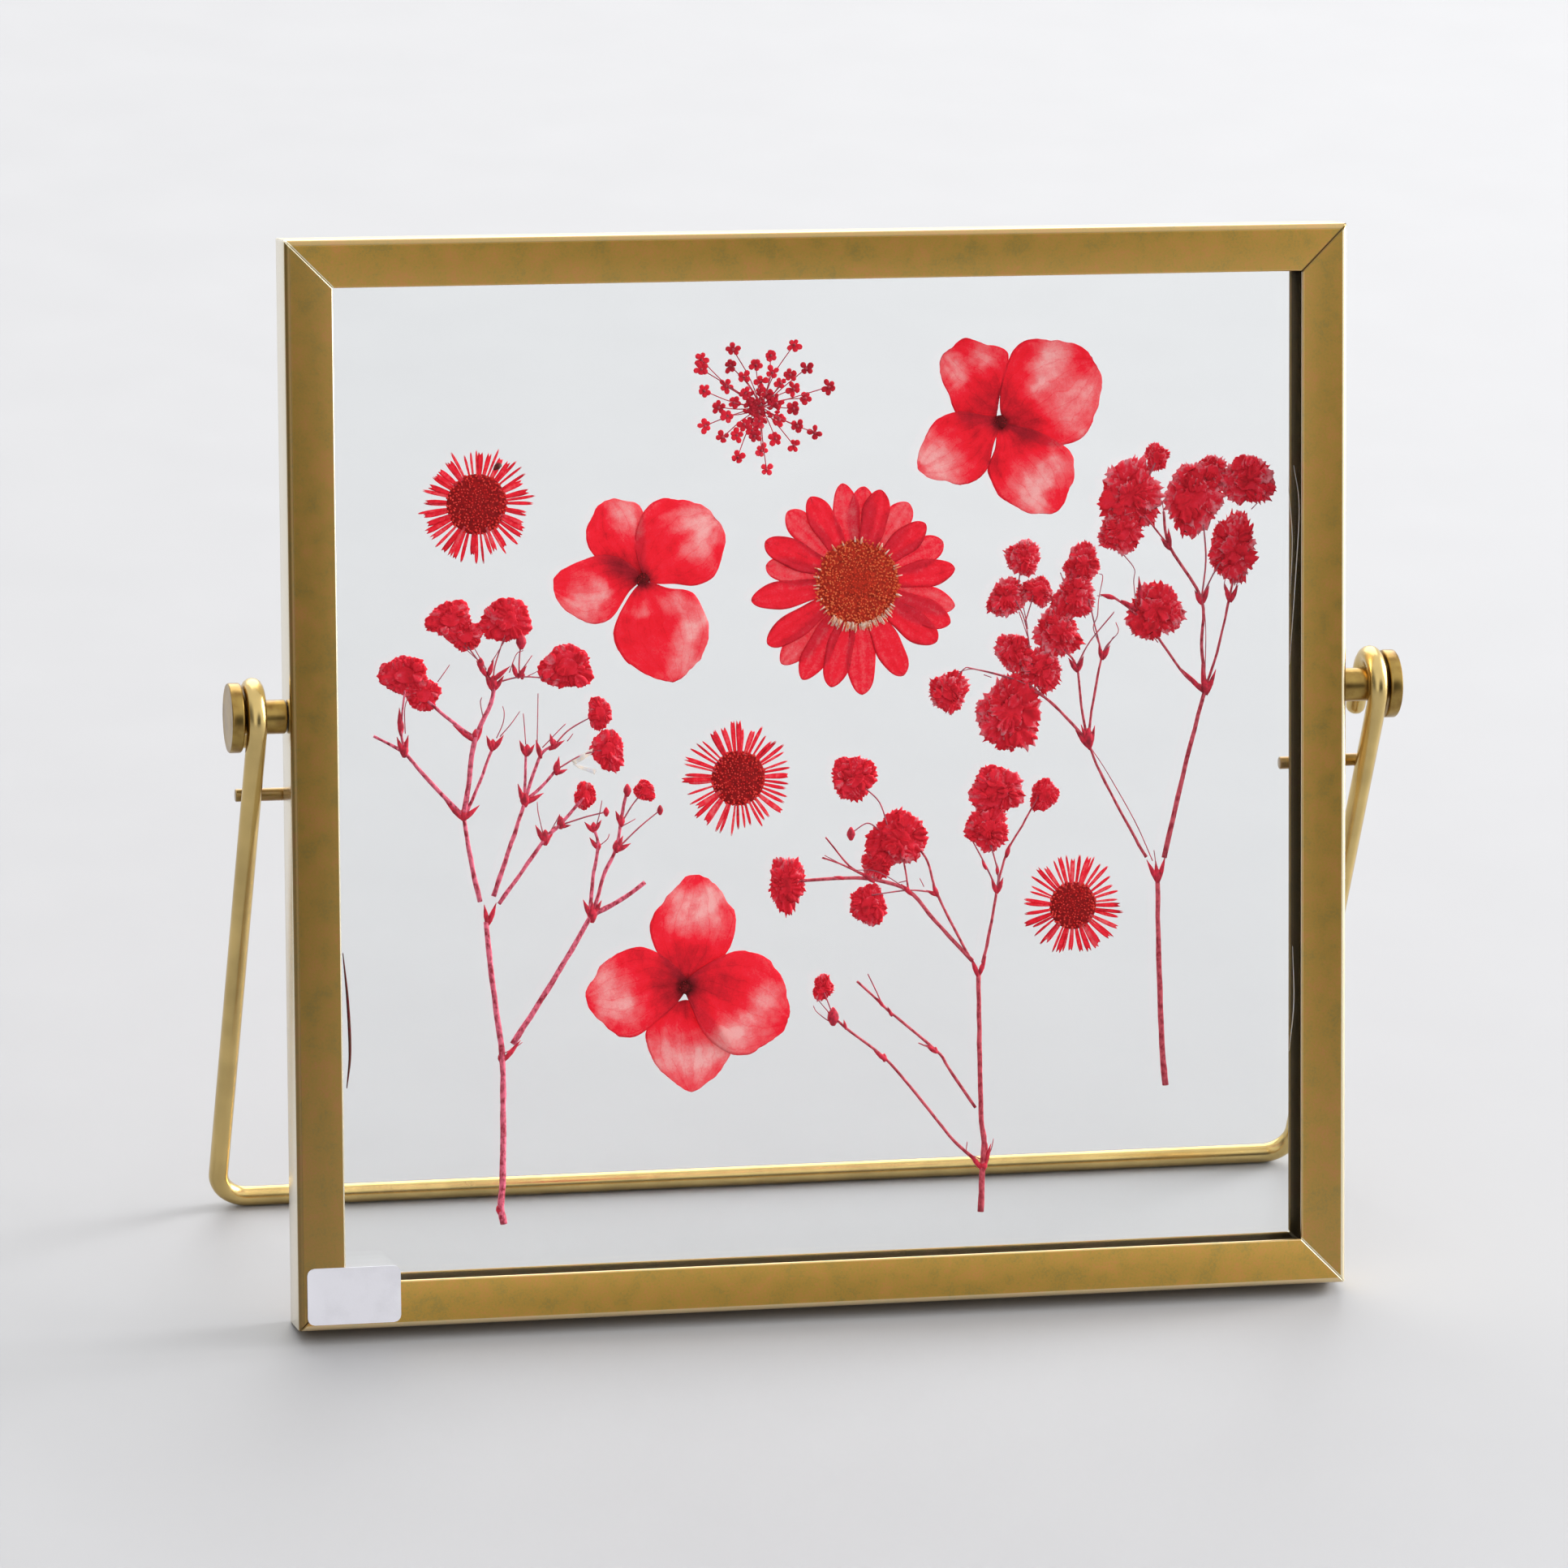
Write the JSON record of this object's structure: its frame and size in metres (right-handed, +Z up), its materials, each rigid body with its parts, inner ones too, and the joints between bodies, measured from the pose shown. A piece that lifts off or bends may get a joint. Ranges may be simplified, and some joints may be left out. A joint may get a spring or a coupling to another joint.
{
  "type": "pressed flower frame",
  "caption": "Small square brass frame holding red pressed flowers between clear panes, with a folding wire stand",
  "frame": {"origin": "middle of the footprint, on the table that the frame stands on", "axes": "+X to the right along the frame's width, +Y to the back, where the stand is, +Z up"},
  "size_m": [0.1662, 0.0479, 0.1464],
  "materials": {
    "brass_channel": "antiqued, satin",
    "brass_wire": "drawn wire, soft sheen",
    "brass_knob": "turned, smooth",
    "pane": "clear, polished",
    "label_paper": "matt, slightly worn",
    "petals": "dried petal, thin and matt",
    "asters": "dried petal, thin and matt",
    "sprigs": "dried stems and blossoms, matt"
  },
  "bodies": {
    "frame": {"hydrangea_right": "petals", "hydrangea_left": "petals", "hydrangea_low": "petals", "daisy": "petals", "aster_left": "asters", "aster_middle": "asters", "aster_right": "asters", "lace_umbel": "petals", "sprig_left_stem": "sprigs", "sprig_left_branch_right": "sprigs", "sprig_left_branch_inner": "sprigs", "sprig_left_branch_middle": "sprigs", "sprig_left_branch_outer": "sprigs", "sprig_middle_stem": "sprigs", "sprig_middle_twig_low": "sprigs", "sprig_middle_twig_high": "sprigs", "sprig_middle_branch_left": "sprigs", "sprig_middle_branch_right": "sprigs", "sprig_right_stem": "sprigs", "sprig_right_branch_left": "sprigs", "sprig_right_branch_right": "sprigs", "rail_bottom": "brass_channel", "rail_left": "brass_channel", "rail_top": "brass_channel", "rail_right": "brass_channel", "glass_front": "pane", "glass_back": "pane", "knob_left": "brass_knob", "knob_right": "brass_knob", "stop_pin_left": "brass_channel", "stop_pin_right": "brass_channel", "label": "label_paper"},
    "stand": {"stand": "brass_wire"}
  },
  "joints": [
    {"name": "stand_hinge", "type": "hinge", "parent": "frame", "child": "stand", "pos_m": [0, 0.00256, 0.08265], "axis": [-1, 0, 0], "range_deg": [0, 24]}
  ]
}
